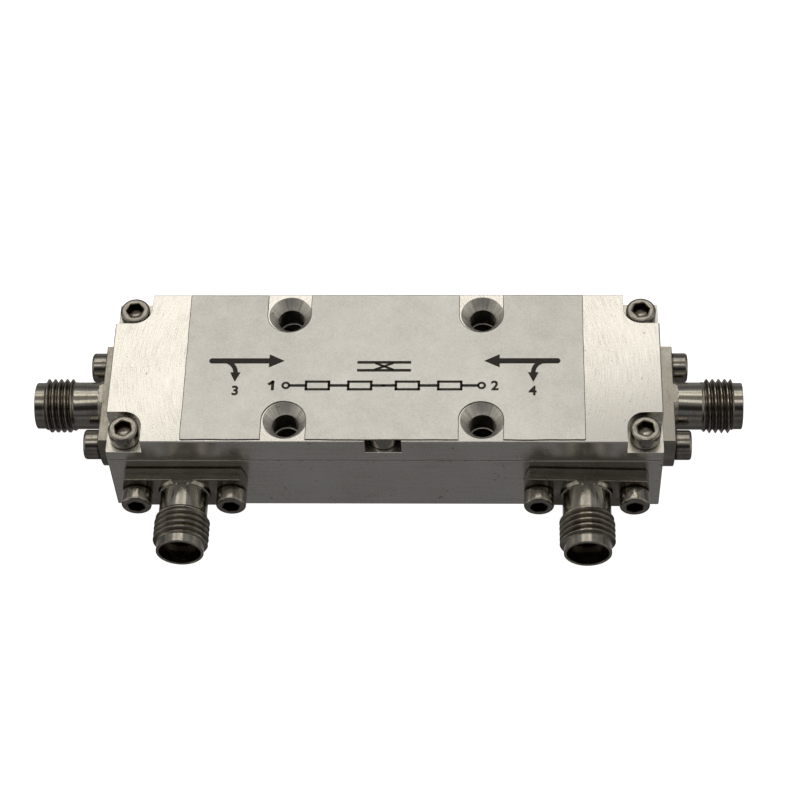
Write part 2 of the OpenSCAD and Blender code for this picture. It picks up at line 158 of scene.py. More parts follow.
def grain(vector, scale=1.0, detail=2.0, rough=0.5):
    """Noise around 0.5 whose spots are about one over the scale wide."""
    made = add(vector.id_data, "ShaderNodeTexNoise",
               {"Vector": vector, "Scale": scale, "Detail": detail, "Roughness": rough})
    return made.outputs[0]


def stretched(tree, x, y, z):
    """Object coordinates divided by a length along each axis, for noise that runs in lines."""
    made = add(tree, "ShaderNodeMapping", {"Vector": place(tree), "Scale": (1 / x, 1 / y, 1 / z)})
    return made.outputs[0]


def tint(value, *stops):
    """A colour ramp: each stop is a position and a colour."""
    made = add(value.id_data, "ShaderNodeValToRGB", {"Fac": value})
    elements = made.color_ramp.elements
    while len(elements) < len(stops):
        elements.new(0.5)
    for element, (position, colour) in zip(elements, stops):
        element.position = position
        element.color = (*colour, 1)
    return made.outputs["Color"]


def new_finish(name, **constants):
    """A material and its tree, with the constants that are the same all over the surface."""
    material = bpy.data.materials.new(name)
    material.use_nodes = True
    tree = material.node_tree
    for socket, value in constants.items():
        tree.nodes["Principled BSDF"].inputs[socket.replace("_", " ")].default_value = value
    return material, tree


def coated(material, colour, rough=None, height=None, depth=0.0):
    """The material with its colour, its gloss, and a relief whose height is 0 to 1 times the depth."""
    tree = material.node_tree
    inputs = tree.nodes["Principled BSDF"].inputs
    plug(inputs["Base Color"], colour)
    if rough:
        plug(inputs["Roughness"], rough)
    if height:
        bump = add(tree, "ShaderNodeBump", {"Height": height, "Strength": 1.0, "Distance": depth})
        plug(inputs["Normal"], bump.outputs[0])
    return material


print("node helpers ready")

# %% [markdown]
# ## The studio
# Bare metal shows the room more than itself. In the photograph two soft lights hang behind the part, one
# above the other with a narrow slanted gap, and a third one hangs nearly overhead: they are the streaks
# along the barrels, and the upper one whitens the lid. Area lights could stand there, but a light tent is
# simpler: the world's own colour is a function of the direction. A direction has a tilt, from the front
# over the top to the rear, and an angle aside. Each light is a band of tilts, weaker panels stand at the
# sides, and the rest is a dim room.

# %% Light tent
LIGHT_COLOUR = (1.0, 0.955, 0.835, 1)
LIGHTS = ((33.6, 46.5, 0.8), (18.3, 30.8, 1.15), (-17.0, -4.5, 0.95))
LIGHT_EDGE = 0.5
LIGHT_SLANT = 0.16
LIGHT_LEFT = -26.0
LIGHT_RIGHT = 13.8
LIGHT_SIDE_EDGE = 2.0
PANELS = ((-44, 30, 28, 0.24), (-88, -44, 41, 0.32), (-116, -96, 36, 0.22), (-150, -116, 28, 0.05),
          (-190, 30, 70, 0.3), (30, 65, 57, 0.3), (130, 190, 58, 0.3))
PANEL_EDGE = 8.0
ROOM_COOL = (1.0, 0.965, 0.94)
ROOM_WARM = (1.0, 0.92, 0.72)
WARM_TILTS = (-17, 29)
ROOM = ((-180, 0.08), (-158, 0.08), (-146, 0.14), (-112, 0.1), (-104, 0.12), (-97, 0.18), (-89, 0.13),
        (-82, 0.05), (-73, 0.16), (-60, 0.17), (-54, 0.05), (-50, 0.025), (-36, 0.035), (-24, 0.24),
        (-18, 0.3), (28, 0.3), (31, 0.3), (50, 0.3), (57, 0.25), (65, 0.15), (74, 0.14), (90, 0.26),
        (150, 0.26), (180, 0.08))
ROOM_ASIDE = ((0, 1.0), (35, 1.0), (48, 0.7), (60, 0.5), (76, 0.8), (90, 0.8))


def band(value, low, high, soft):
    """One between two values and nothing outside them, with soft ends."""
    rise = remap(value, low - soft, low + soft)
    fall = remap(value, high + soft, high - soft)
    return calc("MULTIPLY", rise, fall)


def room_colour(tilt, grey):
    """The room's colour at a tilt: warm over the part and cool around it."""
    low, high = WARM_TILTS
    return [grey * c for c in (ROOM_WARM if low < tilt < high else ROOM_COOL)]


def light_tent():
    world = bpy.data.worlds.new("light_tent")
    world.use_nodes = True
    tree = world.node_tree
    tree.nodes.clear()
    x, y, z = split(add(tree, "ShaderNodeTexCoord").outputs["Generated"])
    tilt = calc("DEGREES", calc("ARCTAN2", y, z))
    aside = calc("DEGREES", calc("ARCSINE", x))
    slanted = calc("MULTIPLY_ADD", aside, -LIGHT_SLANT, tilt)
    lamps = [(band(slanted, low, high, LIGHT_EDGE), power) for low, high, power in LIGHTS]
    wide = band(aside, LIGHT_LEFT, LIGHT_RIGHT, LIGHT_SIDE_EDGE)
    panels = [(calc("MULTIPLY", mixed(lamps), wide), 1.0)]
    outwards = calc("ABSOLUTE", aside)
    for low, high, start, power in PANELS:
        beside = remap(outwards, start - PANEL_EDGE, start + PANEL_EDGE)
        panels.append((calc("MULTIPLY", beside, band(tilt, low, high, PANEL_EDGE)), power))
    shine = mixed(panels)
    stops = [((angle + 180) / 360, room_colour(angle, grey)) for angle, grey in ROOM]
    dim = tint(calc("MULTIPLY_ADD", tilt, 1 / 360, 0.5), *stops)
    walls = [(angle / 90, (grey, grey, grey)) for angle, grey in ROOM_ASIDE]
    wall = tint(calc("DIVIDE", outwards, 90.0), *walls)
    lamp_glow = add(tree, "ShaderNodeBackground", {"Color": LIGHT_COLOUR, "Strength": shine})
    room_glow = add(tree, "ShaderNodeBackground", {"Color": dim, "Strength": wall})
    glow = add(tree, "ShaderNodeAddShader")
    plug(glow.inputs[0], lamp_glow.outputs[0])
    plug(glow.inputs[1], room_glow.outputs[0])
    paper = add(tree, "ShaderNodeBackground", {"Color": (1, 1, 1, 1)})
    to_camera = add(tree, "ShaderNodeLightPath").outputs["Is Camera Ray"]
    seen = add(tree, "ShaderNodeMixShader", {"Fac": to_camera})
    plug(seen.inputs[1], glow.outputs[0])
    plug(seen.inputs[2], paper.outputs[0])
    plug(add(tree, "ShaderNodeOutputWorld").inputs["Surface"], seen.outputs[0])
    return world


bpy.context.scene.world = light_tent()
bpy.context.scene.view_settings.view_transform = "Standard"
print("light tent:", len(bpy.context.scene.world.node_tree.nodes), "nodes")

# %% [markdown]
# ## The floor
# The part stands on a pale sheet that is as bright as the background, so its edge doesn't show. The sheet
# stays out of the mirror reflections, because the front faces show the dim room. Under the part lies a dark
# pad, a little smaller than the housing, so the mounting holes look as black as they do in the photograph.
# The pad is painted shadow: a dark sheet that stands in for the shade under the part.

# %% Floor
FLOOR_REACH = 3.0
FLOOR_Z = -0.02 * MM
FLOOR_TONES = (0.86, 0.9)
FLOOR_GLOW = 0.95
SHADOW_PAD_REACH = (29 * MM, 9 * MM)
SHADOW_PAD_Z = -0.01 * MM
SHADOW_PAD_TONES = (0.01, 0.02)
PAPER_GRAIN = 900


def sheet_finish(name, dark, light, glow):
    """A matte sheet with a fine paper grain, which may glow a little."""
    material, tree = new_finish(name, Roughness=0.9, Emission_Color=(1, 1, 1, 1), Emission_Strength=glow)
    paper = grain(place(tree), PAPER_GRAIN, detail=3)
    return coated(material, tint(paper, (0.3, [dark] * 3), (0.7, [light] * 3)))


def sheet(name, x, y, z, material):
    """A level sheet that belongs to the studio and not to the part."""
    mesh = bpy.data.meshes.new(name)
    mesh.from_pydata([(-x, -y, z), (x, -y, z), (x, y, z), (-x, y, z)], [], [(0, 1, 2, 3)])
    mesh.materials.append(material)
    made = bpy.data.objects.new(name, mesh)
    bpy.context.collection.objects.link(made)
    return made


pale = sheet_finish("pale_floor", *FLOOR_TONES, FLOOR_GLOW)
floor = sheet("floor", FLOOR_REACH, FLOOR_REACH, FLOOR_Z, pale)
floor.visible_glossy = False
# Painted shadow: a dark sheet where the part's own shade falls.
sheet("pad", *SHADOW_PAD_REACH, SHADOW_PAD_Z, sheet_finish("dark_pad", *SHADOW_PAD_TONES, 0.0))
print("floor:", 2 * FLOOR_REACH, "m wide")

# %% [markdown]
# ## Fly-cut aluminium
# The lid's top was faced with a fly cutter: one tool on a wide arm that leaves fine arcs. On the bare ends
# they show as hair lines that lean a little towards the corners. An image of brushed metal would do, but
# arcs are easy to compute: noise in polar coordinates, very fine across the radius and long around it.
# The upright faces were milled along their length, so their lines run level, and a painted shade line marks
# the seam. The countersinks and the floors of the screw notches are duller. The countersinks carry painted
# glints, streaks of reflected light around each hole, and the notch floors are painted a little darker as
# shade.

# %% Fly-cut aluminium
FLY_LINE = 0.09 * MM
FLY_STREAK = 0.1
MILL_LINE = 0.2 * MM
MILL_STREAK = 6 * MM
HOLE_GLINT_ANGLE = 0.2
LEVEL = 0.9
STEEP = 0.4
SEAM_LINE = 0.05 * MM
SEAM_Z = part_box("lid")[0].z
SUNK_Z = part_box("lid")[1].z - 0.5 * MM
mounts = {mount["name"]: mount for mount in frame["record"]["mounts"]}
HOLE_X = mounts["mounting_holes"]["dims"]["spacing_x_mm"] / 2
HOLE_Y = mounts["mounting_holes"]["dims"]["spacing_y_mm"] / 2


def fly_cut_aluminium():
    material, tree = new_finish("fly_cut_aluminium", Metallic=1.0)
    spot = place(tree)
    x, y, z = split(spot)
    radius = calc("SQRT", calc("ADD", calc("MULTIPLY", x, x), calc("MULTIPLY", y, y)))
    angle = calc("ARCTAN2", y, x)
    polar = join(calc("DIVIDE", radius, FLY_LINE), calc("DIVIDE", angle, FLY_STREAK), 0.0)
    arcs = grain(polar, detail=3, rough=0.65)
    milled = grain(stretched(tree, MILL_STREAK, MILL_STREAK, MILL_LINE), detail=3)
    level_lines = calc("MULTIPLY_ADD", milled, 0.4, 0.3)
    # Painted glints: streaks of reflected light, set by the angle around the nearest hole, painted into the
    # countersinks' colour.
    hole_x = calc("SUBTRACT", calc("ABSOLUTE", x), HOLE_X * MM)
    hole_y = calc("SUBTRACT", calc("ABSOLUTE", y), HOLE_Y * MM)
    around = calc("DIVIDE", calc("ARCTAN2", hole_y, hole_x), HOLE_GLINT_ANGLE)
    glint_streaks = calc("SUBTRACT", grain(join(around, 0.0, 0.0)), 0.5)
    up = calc("ABSOLUTE", split(add(tree, "ShaderNodeNewGeometry").outputs["Normal"])[2])
    top = calc("GREATER_THAN", up, LEVEL)
    side = calc("SUBTRACT", 1.0, top)
    cone = calc("SUBTRACT", calc("GREATER_THAN", up, STEEP), top)
    # The floors of the screw notches are duller, and painted a little darker as shade.
    sunk = calc("MULTIPLY", top, calc("LESS_THAN", z, SUNK_Z))
    painted_glint = calc("MULTIPLY", glint_streaks, cone)
    # A painted shade line along the seam between lid and housing.
    from_seam = calc("ABSOLUTE", calc("SUBTRACT", z, SEAM_Z))
    seam_shade = calc("MULTIPLY", calc("LESS_THAN", from_seam, SEAM_LINE), side)
    lines = mixed([(arcs, top), (level_lines, side)])
    speckle = grain(spot, 6500, detail=2, rough=0.65)
    cloud = grain(spot, 160, detail=3)
    nicks = remap(grain(spot, 1600, detail=1), 0.72, 0.78)
    # The tone: painted glints on the countersinks, painted shade along the seam and on the notch floors.
    tone = mixed([(lines, 0.5), (speckle, 0.34), (cloud, 0.16), (nicks, -0.2), (sunk, -0.07),
                        (painted_glint, 0.8), (seam_shade, -0.45)])
    colour = tint(tone, (0.08, (0.05, 0.046, 0.042)), (0.34, (0.6, 0.58, 0.54)),
                  (0.5, (0.89, 0.875, 0.845)), (0.64, (0.98, 0.97, 0.95)))
    polish = remap(tone, 0.35, 0.65, 0.15, 0.08)
    dull = mixed([(polish, 1.0), (side, 0.12), (cone, 0.2), (sunk, 0.16)])
    return coated(material, colour, dull, mixed([(lines, 1.0), (speckle, 0.4)]), 0.0012 * MM)


ALUMINIUM = fly_cut_aluminium()
print("finish:", ALUMINIUM.name)

# %% [markdown]
# ## Housing and lid
# Both blocks are right as solids, but a solid's edges are perfectly sharp, and no real edge is. The bevel
# could be modelled into each block. A Bevel modifier on a merged copy does the same for every edge that
# turns sharply: the countersinks, the screw notches and the seam all get a fine round that catches light.
# The large faces and the countersinks keep their own shading up to the fine round, because smooth shading
# across it would bend their reflections.

# %% Housing and lid
EDGE_ROUND = 0.035 * MM
SHARP_ANGLE = math.radians(32)
FACET_ANGLE = math.radians(12)
STRAIGHT = 0.99999


def solid_copy(name):
    """A merged copy of a solid's loose triangles, with its flat faces joined."""
    mesh = frame["nodes"][name].data.copy()
    work = bmesh.new()
    work.from_mesh(mesh)
    bmesh.ops.remove_doubles(work, verts=work.verts, dist=1e-6)
    bmesh.ops.dissolve_limit(work, angle_limit=math.radians(0.3), verts=work.verts, edges=work.edges)
    work.to_mesh(mesh)
    work.free()
    return mesh


def scratch(name, mesh):
    """A working object for modifiers, which doesn't stay in the scene."""
    made = bpy.data.objects.new(name, mesh)
    bpy.context.collection.objects.link(made)
    return made


def made_mesh(source, name):
    """The plain mesh that an object's modifiers make of it; the object is then removed."""
    graph = bpy.context.evaluated_depsgraph_get()
    mesh = bpy.data.meshes.new_from_object(source.evaluated_get(graph))
    mesh.name = name
    bpy.data.objects.remove(source)
    return mesh


def finished(name, mesh, slot, materials, *nodes):
    """A finished piece: smooth with creases, riding on the one body, standing for the nodes named."""
    mesh.shade_smooth()
    mesh.set_sharp_from_angle(angle=SHARP_ANGLE)
    if mesh.materials:
        mesh.materials.clear()
    for material in materials:
        mesh.materials.append(material)
    piece = bpy.data.objects.new(name, mesh)
    bpy.context.collection.objects.link(piece)
    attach(piece, BODY)
    if nodes:
        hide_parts(*nodes)
    mesh.calc_loop_triangles()
    print(name, len(mesh.loop_triangles), "triangles")
    return piece


def rounded_block(node):
    source = scratch(node + "_edges", solid_copy(node))
    bevel = source.modifiers.new("edges", "BEVEL")
    bevel.width = EDGE_ROUND
    bevel.segments = 2
    bevel.limit_method = "ANGLE"
    bevel.angle_limit = SHARP_ANGLE
    name = "milled_" + node
    piece = finished(name, made_mesh(source, name), "machined_aluminium", [ALUMINIUM], node)
    piece.data.set_sharp_from_angle(angle=FACET_ANGLE)
    for face in piece.data.polygons:
        face.use_smooth = max(abs(c) for c in face.normal) < STRAIGHT


for node in ("housing", "lid"):
    rounded_block(node)

# %% [markdown]
# ## The label
# The label is a matte silver film that somebody cut by hand: its edges wander a little, its corners are
# round, and it leaves a slot free around each mounting hole. A plain box with a picture on it would miss
# that edge. Here the outline is walked once around, from the hole pattern in the record, with a slight
# wobble from smooth noise, and the film is raised from it with a thin dark rim along its cut edge: painted
# shadow, the shade line along the film's edge.

# %% Film and ink
def label_film():
    material, tree = new_finish("silver_label_film", Metallic=0.9)
    spot = place(tree)
    flake = grain(spot, 6500, detail=2)
    mottle = grain(spot, 420, detail=4, rough=0.6)
    cloud = grain(spot, 60, detail=2)
    tone = mixed([(flake, 0.45), (mottle, 0.3), (cloud, 0.25)])
    colour = tint(tone, (0.3, (0.6, 0.597, 0.59)), (0.5, (0.73, 0.728, 0.722)), (0.7, (0.83, 0.828, 0.824)))
    bumps = mixed([(flake, 0.5), (mottle, 0.5)])
    return coated(material, colour, remap(tone, 0.3, 0.7, 0.38, 0.3), bumps, 0.004 * MM)


# Painted shadow: the film's cut edge and a thin rim on its top are dark, as the shade line along the label's
# edge.
def edge_shadow_finish():
    material, tree = new_finish("cut_film_edge", Roughness=0.6)
    cut = grain(place(tree), 3000, detail=3)
    return coated(material, tint(cut, (0.3, (0.04, 0.038, 0.035)), (0.7, (0.1, 0.096, 0.09))))


def printed_ink():
    material, tree = new_finish("printed_ink")
    cover = grain(place(tree), 7000, detail=3)
    colour = tint(cover, (0.35, (0.02, 0.0165, 0.0145)), (0.7, (0.038, 0.032, 0.028)))
    return coated(material, colour, remap(cover, 0.3, 0.7, 0.62, 0.5), cover, 0.003 * MM)


FILM = label_film()
FILM_EDGE_SHADOW = edge_shadow_finish()
INK = printed_ink()
print("finishes:", FILM.name, FILM_EDGE_SHADOW.name, INK.name)

# %% Label
LABEL_CORNER = 0.2
LABEL_TRIM = 0.12
LABEL_CUTOUT = 2.5
LABEL_SLIP = -0.15
LABEL_STEP = 0.4
LABEL_SHADOW_RIM = 0.07 * MM
WOBBLE = 0.045
WOBBLE_LENGTH = 2.2
WOBBLE_SEED = 4
label_low, label_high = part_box("label")


def arc(x, y, radius, start, end, steps=8):
    """Points along an arc, with its angles in degrees."""
    turns = [math.radians(start + (end - start) * i / steps) for i in range(steps + 1)]
    return [Vector((x + radius * math.cos(t), y + radius * math.sin(t))) for t in turns]


def label_outline():
    """The film's edge in millimetres, once around from the front left corner."""
    x0, y0 = label_low.x / MM + LABEL_TRIM, label_low.y / MM
    x1, y1 = label_high.x / MM - LABEL_TRIM, label_high.y / MM - LABEL_TRIM
    left, right = LABEL_SLIP - HOLE_X, LABEL_SLIP + HOLE_X
    c, r = LABEL_CORNER, LABEL_CUTOUT
    points = arc(x0 + c, y0 + c, c, 180, 270)
    for x in (left, right):
        points += [Vector((x - r, y0)), *arc(x, -HOLE_Y, r, 180, 0, 28), Vector((x + r, y0))]
    points += arc(x1 - c, y0 + c, c, 270, 360) + arc(x1 - c, y1 - c, c, 0, 90)
    for x in (right, left):
        points += [Vector((x + r, y1)), *arc(x, HOLE_Y, r, 0, -180, 28), Vector((x - r, y1))]
    return points + arc(x0 + c, y1 - c, c, 90, 180)


def hand_cut(points):
    """The outline in short steps, each moved a little by smooth noise with a fixed seed."""
    noise.seed_set(WOBBLE_SEED)
    steps = []
    for here, there in zip(points, points[1:] + points[:1]):
        count = max(1, round((there - here).length / LABEL_STEP))
        steps += [here.lerp(there, i / count) for i in range(count)]
    moved = []
    for point in steps:
        push = noise.noise_vector(point.to_3d() / WOBBLE_LENGTH) * WOBBLE
        moved.append((point + push.to_2d()) * MM)
    return moved


def edited(work, name):
    """A new mesh from an edit, which is then closed."""
    mesh = bpy.data.meshes.new(name)
    work.to_mesh(mesh)
    work.free()
    return mesh


def raised_film(name, outline, low, high, shadow_rim):
    """A film between two heights; its cut edge and a thin rim on its top have the second material, dark as a
    painted shadow line.
    """
    work = bmesh.new()
    bottom = work.faces.new([work.verts.new((p.x, p.y, low)) for p in outline])
    made = bmesh.ops.extrude_face_region(work, geom=[bottom])["geom"]
    raised = [v for v in made if isinstance(v, bmesh.types.BMVert)]
    bmesh.ops.translate(work, vec=(0, 0, high - low), verts=raised)
    top = next(f for f in made if isinstance(f, bmesh.types.BMFace))
    bmesh.ops.recalc_face_normals(work, faces=work.faces)
    bmesh.ops.inset_region(work, faces=[top], thickness=shadow_rim)
    for face in work.faces:
        face.material_index = 0 if face == top else 1
    bmesh.ops.triangulate(work, faces=work.faces)
    return edited(work, name)


film = raised_film("label_film", hand_cut(label_outline()), label_low.z, label_high.z, LABEL_SHADOW_RIM)
finished("label_film", film, "label_film", [FILM, FILM_EDGE_SHADOW], "label")

# %% [markdown]
# ## The print
# The arrows on the label are solids already. Around them the label carries plain port numbers and a plain
# circuit sign of a coupled line. Text objects could stay text, but a mesh is easier to place exactly: the
# digits are turned into meshes first, and the strokes of the sign are flat bars, rings and boxes of ink.

# %% Printed numbers and signs
PRINT_LOW = label_high.z
PRINT_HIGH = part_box("flow_arrows")[1].z
LABEL_MIDDLE = (label_low.x + label_high.x) / 2 / MM
DIGIT_HEIGHT = 1.3
DIGIT_BOLD = 0.03
STROKE = 0.34
BOX_STROKE = 0.289
CROSS_STROKE = 0.272
PORT_X = 16.85
PORT_Y = -3.33
LINE_Y = -2.64
LINE_END = 12.6
ONE_STEM = 0.48
ONE_FLAG = (0.36, 0.22)
TERMINAL_X = 11.1
TERMINAL_R = (0.5, 0.24)
WIRES = ((0, 1.3), (4.1, 6.1), (8.9, 10.6))
BOXES = (2.7, 7.5)
BOX_SIZE = (2.6, 1.05)
PAIR_X = 2.9
PAIR_Y = 0.55
CROSS_X = 0.9
CROSS_Y = 0.4


def bar(work, start, end, width=STROKE):
    """A straight stroke between two points in millimetres."""
    start, end = Vector(start), Vector(end)
    along = (end - start).normalized() * width / 2
    across = Vector((-along.y, along.x))
    ring = [start - along - across, end + along - across, end + along + across, start - along + across]
    work.faces.new([work.verts.new((p.x, p.y, 0)) for p in ring])


def loop(work, x, y, outer, inner, steps=40):
    """A ring of ink."""
    rings = [[work.verts.new((*p, 0)) for p in arc(x, y, r, 0, 360, steps)[:-1]] for r in (inner, outer)]
    for i in range(steps):
        j = (i + 1) % steps
        work.faces.new([rings[0][i], rings[1][i], rings[1][j], rings[0][j]])


def box_sign(work, x, y, length, height):
    """The outline of a resistor's sign."""
    corners = [(x - length / 2, y - height / 2), (x + length / 2, y - height / 2),
               (x + length / 2, y + height / 2), (x - length / 2, y + height / 2)]
    for start, end in zip(corners, corners[1:] + corners[:1]):
        bar(work, start, end, BOX_STROKE)


def digit(work, sign, x, y, height=DIGIT_HEIGHT):
    """A bold digit, as a mesh centred on a point."""
    words = bpy.data.curves.new("digit", "FONT")
    words.body = sign
    words.offset = DIGIT_BOLD
    text = scratch("digit", words)
    mesh = made_mesh(text, "digit")
    low = Vector(map(min, *(v.co for v in mesh.vertices)))
    high = Vector(map(max, *(v.co for v in mesh.vertices)))
    scale = height / (high.y - low.y)
    middle = (low + high) / 2
    mesh.transform(Matrix.Translation((x, y, 0)) @ Matrix.Scale(scale, 4) @ Matrix.Translation(-middle))
    work.from_mesh(mesh)
    bpy.data.meshes.remove(mesh)


def printed_signs():
    work = bmesh.new()
    middle = LABEL_MIDDLE
    for sign, x, y in (("3", -PORT_X, PORT_Y), ("4", PORT_X, PORT_Y), ("2", LINE_END, LINE_Y)):
        digit(work, sign, middle + x, y)
    stem, head = middle - LINE_END, LINE_Y + ONE_STEM
    bar(work, (stem, LINE_Y - ONE_STEM), (stem, head))
    bar(work, (stem - ONE_FLAG[0], LINE_Y + ONE_FLAG[1]), (stem, head))
    for side in SIDES:
        loop(work, middle + side * TERMINAL_X, LINE_Y, *TERMINAL_R)
        for near, far in WIRES:
            bar(work, (middle + side * near, LINE_Y), (middle + side * far, LINE_Y))
        for x in BOXES:
            box_sign(work, middle + side * x, LINE_Y, *BOX_SIZE)
        bar(work, (middle - PAIR_X, side * PAIR_Y), (middle + PAIR_X, side * PAIR_Y))
        bar(work, (middle - CROSS_X, -side * CROSS_Y), (middle + CROSS_X, side * CROSS_Y), CROSS_STROKE)
    bmesh.ops.recalc_face_normals(work, faces=work.faces)
    flat = list(work.faces)
    made = bmesh.ops.extrude_face_region(work, geom=flat)["geom"]
    raised = [v for v in made if isinstance(v, bmesh.types.BMVert)]
    bmesh.ops.scale(work, vec=(MM, MM, MM), verts=work.verts)
    bmesh.ops.translate(work, vec=(0, 0, PRINT_LOW), verts=work.verts)
    bmesh.ops.translate(work, vec=(0, 0, PRINT_HIGH - PRINT_LOW), verts=raised)
    bmesh.ops.recalc_face_normals(work, faces=work.faces)
    return edited(work, "printed_signs")


finished("printed_signs", printed_signs(), "ink", [INK])

# %% [markdown]
# ## Turned steel
# The connectors are turned from stainless steel, so fine tool marks run around them, and handling leaves
# soft patches. The screws are darker and duller. A brushed look could come from an anisotropic shader, but
# that needs a tangent. Noise that is very fine along the axis and long around it gives the same rings, and
# the end connectors lie along X while the front ones lie along Y, so each pair has its own finish. Shade is
# painted into both finishes, brown-black, in the thread's grooves, the screws' sockets and the connectors'
# bores: the meshes below carry that painted shade as a value on each point.

# %% Turned steel and screw steel
TURN_LINE = 0.05 * MM
TURN_STREAK = 2.5 * MM
# The colour of the painted shade, at the dark end of both steel ramps.
PAINTED_SHADE_COLOUR = (0.07, 0.053, 0.037)


def grime(tree):
    """How much painted shade darkens a spot, from 0 to 1, as its mesh says."""
    return add(tree, "ShaderNodeAttribute", attribute_name="grime").outputs["Fac"]


def turned_steel(name, lengths):
    material, tree = new_finish(name, Metallic=1.0)
    rings = grain(stretched(tree, *lengths), detail=3, rough=0.6)
    patch = grain(place(tree), 480, detail=4, rough=0.6)
    fleck = grain(place(tree), 3600, detail=2)
    # The mesh's painted shade darkens the tone towards the shade colour.
    tone = mixed([(rings, 0.4), (patch, 0.4), (fleck, 0.2), (grime(tree), -0.48)])
    colour = tint(tone, (0.03, PAINTED_SHADE_COLOUR), (0.34, (0.3, 0.278, 0.243)), (0.5, (0.45, 0.432, 0.392)),
                  (0.66, (0.56, 0.548, 0.512)))
    bumps = mixed([(rings, 0.8), (fleck, 0.3)])
    return coated(material, colour, remap(tone, 0.3, 0.65, 0.22, 0.08), bumps, 0.0012 * MM)


def screw_steel():
    material, tree = new_finish("screw_steel", Metallic=1.0)
    patch = grain(place(tree), 900, detail=4, rough=0.65)
    fleck = grain(place(tree), 5000, detail=2)
    # The mesh's painted shade darkens the tone towards the shade colour.
    tone = mixed([(patch, 0.6), (fleck, 0.4), (grime(tree), -0.48)])
    colour = tint(tone, (0.03, PAINTED_SHADE_COLOUR), (0.32, (0.25, 0.234, 0.212)), (0.5, (0.385, 0.366, 0.337)),
                  (0.7, (0.5, 0.48, 0.446)))
    bumps = mixed([(patch, 0.6), (fleck, 0.4)])
    return coated(material, colour, remap(tone, 0.3, 0.65, 0.22, 0.09), bumps, 0.002 * MM)


END_STEEL = turned_steel("turned_steel_end", (TURN_LINE, TURN_STREAK, TURN_STREAK))
FRONT_STEEL = turned_steel("turned_steel_front", (TURN_STREAK, TURN_LINE, TURN_STREAK))
SCREW_STEEL = screw_steel()
print("finishes:", END_STEEL.name, FRONT_STEEL.name, SCREW_STEEL.name)

# %% [markdown]
# ## Rings and skins
# Screws and connectors are round, but not only round: a socket is a hexagon and a flange has two flats. A
# Spin would give only circles. So a turned piece is a stack of rings, and a ring may be a circle, a hexagon
# or a disc with flats. The skin between two rings is a row of quads, and points that fall together merge.

# %% Ring helpers
RING_POINTS = 144
LEAST_RISE = 1e-9


def ring_angles(count):
    """The angles of a ring's points."""
    return [2 * math.pi * i / count for i in range(count)]


def ring_at(z, angles, reaches):
    """A ring at a height, in millimetres, from each point's angle and its distance to the axis."""
    return [Vector((reach * math.cos(a), reach * math.sin(a), z)) for a, reach in zip(angles, reaches)]


def circle(z, radius, count=RING_POINTS):
    """A round ring."""
    return ring_at(z, ring_angles(count), [radius] * count)


def hexagon(z, across, count):
    """A hexagonal ring, with a point on each corner."""
    sixth = math.pi / 3
    angles = ring_angles(count)
    return ring_at(z, angles, [across / 2 / math.cos(a % sixth - sixth / 2) for a in angles])


def flatted(z, radius, half_flat, inset=0.0, kept=0.0, count=RING_POINTS):
    """A disc's edge with a flat above and below, with a point on each corner.

    A chamfer insets it, but not on the stretch of the flats that is kept, from the middle to each side.
    """
    column = round(math.asin(half_flat / radius) / (2 * math.pi) * count)
    radius, full_flat, half_flat = radius - inset, half_flat, half_flat - inset
    corner = math.asin(half_flat / radius)
    angles = ring_angles(count)
    angles[column] = corner
    angles[count // 2 - column] = math.pi - corner
    angles[count // 2 + column] = math.pi + corner
    angles[count - column] = 2 * math.pi - corner
    reaches = []
    for a in angles:
        rise = max(abs(math.sin(a)), LEAST_RISE)
        flat = full_flat if abs(full_flat * math.cos(a) / rise) < kept else half_flat
        reaches.append(min(radius, flat / rise))
    return ring_at(z, angles, reaches)


def cut_angles(corner, column, count=RING_POINTS):
    """The angles of a ring with two flats, evenly spread on both sides of each corner."""
    half = count // 2
    side = [corner * i / column for i in range(column)]
    flat = [corner + (math.pi - 2 * corner) * i / (half - 2 * column) for i in range(half - 2 * column)]
    upper = side + flat + [math.pi - corner + a for a in side]
    return upper + [math.pi + a for a in upper]


def cut_ring(z, radius, half_flat, angles):
    """A round ring with points at the given angles, cut by a flat above and below."""
    reaches = [min(radius, half_flat / max(abs(math.sin(a)), LEAST_RISE)) for a in angles]
    return ring_at(z, angles, reaches)


def skin(work, rings):
    """Quads between neighbouring rings; a ring of one point is a pole."""
    rows = [[work.verts.new(p * MM) for p in ring] for ring in rings]
    for low, high in zip(rows, rows[1:]):
        count = max(len(low), len(high))
        for i in range(count):
            j = (i + 1) % count
            corners = [low[i % len(low)], low[j % len(low)], high[j % len(high)], high[i % len(high)]]
            work.faces.new(list(dict.fromkeys(corners)))


def ring_mesh(name, *stacks):
    """A mesh skinned over stacks of rings that run upwards outside, with doubles merged."""
    work = bmesh.new()
    for rings in stacks:
        skin(work, rings)
    bmesh.ops.remove_doubles(work, verts=work.verts, dist=1e-7)
    bmesh.ops.dissolve_degenerate(work, edges=work.edges, dist=1e-8)
    return edited(work, name)


def paint_shade(mesh, amount):
    """Stores the painted shade on each point of a mesh, from its distance to the axis and its height."""
    shade_amount = mesh.attributes.new("grime", "FLOAT", "POINT")
    for item, vertex in zip(shade_amount.data, mesh.vertices):
        x, y, z = vertex.co / MM
        item.value = amount(math.hypot(x, y), z)


print("rings of", RING_POINTS, "points")

# %% [markdown]
# ## The cap screws
# Fourteen socket cap screws hold the part together: six in the lid and two in each flange. Copying one by
# hand would work, but a Geometry Nodes tree does it from a cloud of points: each point says where a screw
# sits and which way it faces, and a seeded random turn keeps the sockets from lining up. The socket's walls
# are painted dark as shade, and a shallow drilled dish at its bottom, where the light collects, less so. The
# head's side gets a little painted shade, and the seat a dark band of painted contact shadow.

